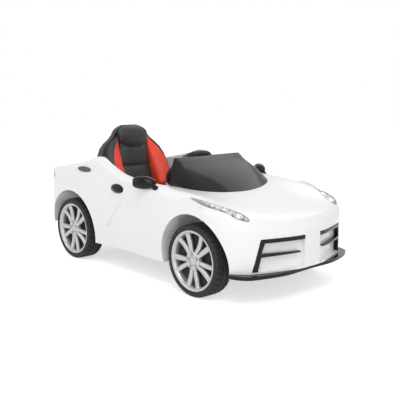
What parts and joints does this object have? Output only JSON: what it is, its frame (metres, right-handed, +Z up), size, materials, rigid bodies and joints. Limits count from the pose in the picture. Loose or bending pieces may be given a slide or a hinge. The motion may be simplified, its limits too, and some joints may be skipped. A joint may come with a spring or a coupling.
{
  "type": "electric ride-on car",
  "caption": "Child's battery ride-on sports car: open cockpit with bucket seat, wrapped windscreen, steered front wheels and driven rear wheels.",
  "frame": {"origin": "on the floor under the middle of the overall box", "axes": "+X forward, +Y to the car's left, +Z up"},
  "size_m": [1.0673, 0.6, 0.481],
  "materials": {
    "body_white": "glossy white moulding",
    "screen_smoke": "dark smoke, glossy",
    "trim_black": "glossy black",
    "trim_grey": "dark grey",
    "lamp_lens": "clear",
    "lamp_chrome": "bright",
    "lamp_red": "clear red",
    "mirror_glass": "polished",
    "inside_white": "satin white",
    "inside_black": "satin black",
    "seat_black": "soft padded leatherette",
    "seat_red": "soft padded leatherette",
    "tyre_black": "matt tread",
    "hub_silver": "silver paint",
    "steel": "bright zinc",
    "grip_black": "soft grip",
    "button_red": "glossy red",
    "motor_case": "plain"
  },
  "bodies": {
    "car": {"body_shell": "body_white", "windscreen": "screen_smoke", "front_splitter": "trim_black", "grille_trim_left": "trim_black", "grille_trim_right": "trim_black", "mirror_housing_left": "trim_black", "mirror_housing_right": "trim_black", "door_handle_left": "trim_black", "door_handle_right": "trim_black", "fuel_cap": "trim_grey", "headlight_lens_left": "lamp_lens", "headlight_lens_right": "lamp_lens", "headlight_reflector_left": "lamp_chrome", "headlight_reflector_right": "lamp_chrome", "tail_light_left": "lamp_red", "tail_light_right": "lamp_red", "mirror_glass_left": "mirror_glass", "mirror_glass_right": "mirror_glass", "cockpit_tub": "inside_white", "chassis_tray": "inside_black", "dashboard": "inside_black", "seat_shell": "inside_black", "gearbox_case": "inside_black", "battery": "inside_black", "pedal_base": "inside_black", "charge_socket": "inside_black", "column_bush": "inside_black", "body_screws": "steel", "steering_bracket": "steel", "front_axle_beam": "steel", "axle_nuts_rear": "steel", "rear_axle": "steel", "rear_axle_brackets": "steel", "motor": "motor_case", "seat_back_pad": "seat_black", "seat_base_pad": "seat_black", "seat_bolster_left": "seat_red", "seat_bolster_right": "seat_red"},
    "steering": {"steering_wheel": "grip_black", "horn_pad": "grip_black", "steering_column": "steel"},
    "horn_left": {"horn_button_left": "button_red"},
    "horn_right": {"horn_button_right": "button_red"},
    "tie_rod": {"tie_rod": "steel"},
    "knuckle_left": {"knuckle_left": "steel", "axle_nut_front_left": "steel"},
    "knuckle_right": {"knuckle_right": "steel", "axle_nut_front_right": "steel"},
    "wheel_front_left": {"tyre_front_left": "tyre_black", "hubcap_front_left": "hub_silver"},
    "wheel_front_right": {"tyre_front_right": "tyre_black", "hubcap_front_right": "hub_silver"},
    "wheel_rear_left": {"tyre_rear_left": "tyre_black", "hubcap_rear_left": "hub_silver"},
    "wheel_rear_right": {"tyre_rear_right": "tyre_black", "hubcap_rear_right": "hub_silver", "drive_sleeve": "inside_black"},
    "pedal": {"accelerator_pedal": "grip_black"},
    "power_switch": {"power_button": "button_red"},
    "lever": {"direction_lever": "grip_black"}
  },
  "joints": [
    {"name": "steering_turn", "type": "hinge", "parent": "car", "child": "steering", "pos_m": [-0.015, 0, 0.34], "axis": [-0.7169, 0, 0.6972], "range_deg": [-39.9, 39.9]},
    {"name": "horn_left_press", "type": "slide", "parent": "steering", "child": "horn_left", "axis": [0.7169, 0, -0.6972], "range_m": [0, 0.0018], "stiffness_N_per_m": 300, "springref_m": -0.002},
    {"name": "horn_right_press", "type": "slide", "parent": "steering", "child": "horn_right", "axis": [0.7169, 0, -0.6972], "range_m": [0, 0.0018], "stiffness_N_per_m": 300, "springref_m": -0.002},
    {"name": "tie_rod_slide", "type": "slide", "parent": "car", "child": "tie_rod", "axis": [0, 1, 0], "range_m": [-0.0207, 0.0207]},
    {"name": "knuckle_left_turn", "type": "hinge", "parent": "car", "child": "knuckle_left", "pos_m": [0.285, 0.165, 0.111], "axis": [0, 0, 1], "range_deg": [-20, 20]},
    {"name": "knuckle_right_turn", "type": "hinge", "parent": "car", "child": "knuckle_right", "pos_m": [0.285, -0.165, 0.111], "axis": [0, 0, 1], "range_deg": [-20, 20]},
    {"name": "wheel_front_left_spin", "type": "hinge", "parent": "knuckle_left", "child": "wheel_front_left", "pos_m": [0.285, 0.23, 0.111], "axis": [0, 1, 0], "continuous": true},
    {"name": "wheel_front_right_spin", "type": "hinge", "parent": "knuckle_right", "child": "wheel_front_right", "pos_m": [0.285, -0.23, 0.111], "axis": [0, 1, 0], "continuous": true},
    {"name": "wheel_rear_left_spin", "type": "hinge", "parent": "car", "child": "wheel_rear_left", "pos_m": [-0.365, 0.23, 0.111], "axis": [0, 1, 0], "continuous": true},
    {"name": "wheel_rear_right_spin", "type": "hinge", "parent": "car", "child": "wheel_rear_right", "pos_m": [-0.365, -0.23, 0.111], "axis": [0, 1, 0], "continuous": true},
    {"name": "pedal_press", "type": "hinge", "parent": "car", "child": "pedal", "pos_m": [0.062, -0.066, 0.104], "axis": [0, 1, 0], "range_deg": [0, 12], "stiffness_Nm_per_rad": 0.8, "springref_deg": -11.46},
    {"name": "power_button_press", "type": "slide", "parent": "car", "child": "power_switch", "axis": [1, 0, 0], "range_m": [0, 0.0022], "stiffness_N_per_m": 300, "springref_m": -0.002},
    {"name": "direction_lever_tip", "type": "hinge", "parent": "car", "child": "lever", "pos_m": [0.106, -0.092, 0.258], "axis": [0, 1, 0], "range_deg": [-15, 15]}
  ],
  "couplings": [
    {"joint": "tie_rod_slide", "follows": "steering_turn", "m_per_rad": -0.02947},
    {"joint": "knuckle_left_turn", "follows": "steering_turn", "ratio": 0.501},
    {"joint": "knuckle_right_turn", "follows": "steering_turn", "ratio": 0.501}
  ]
}
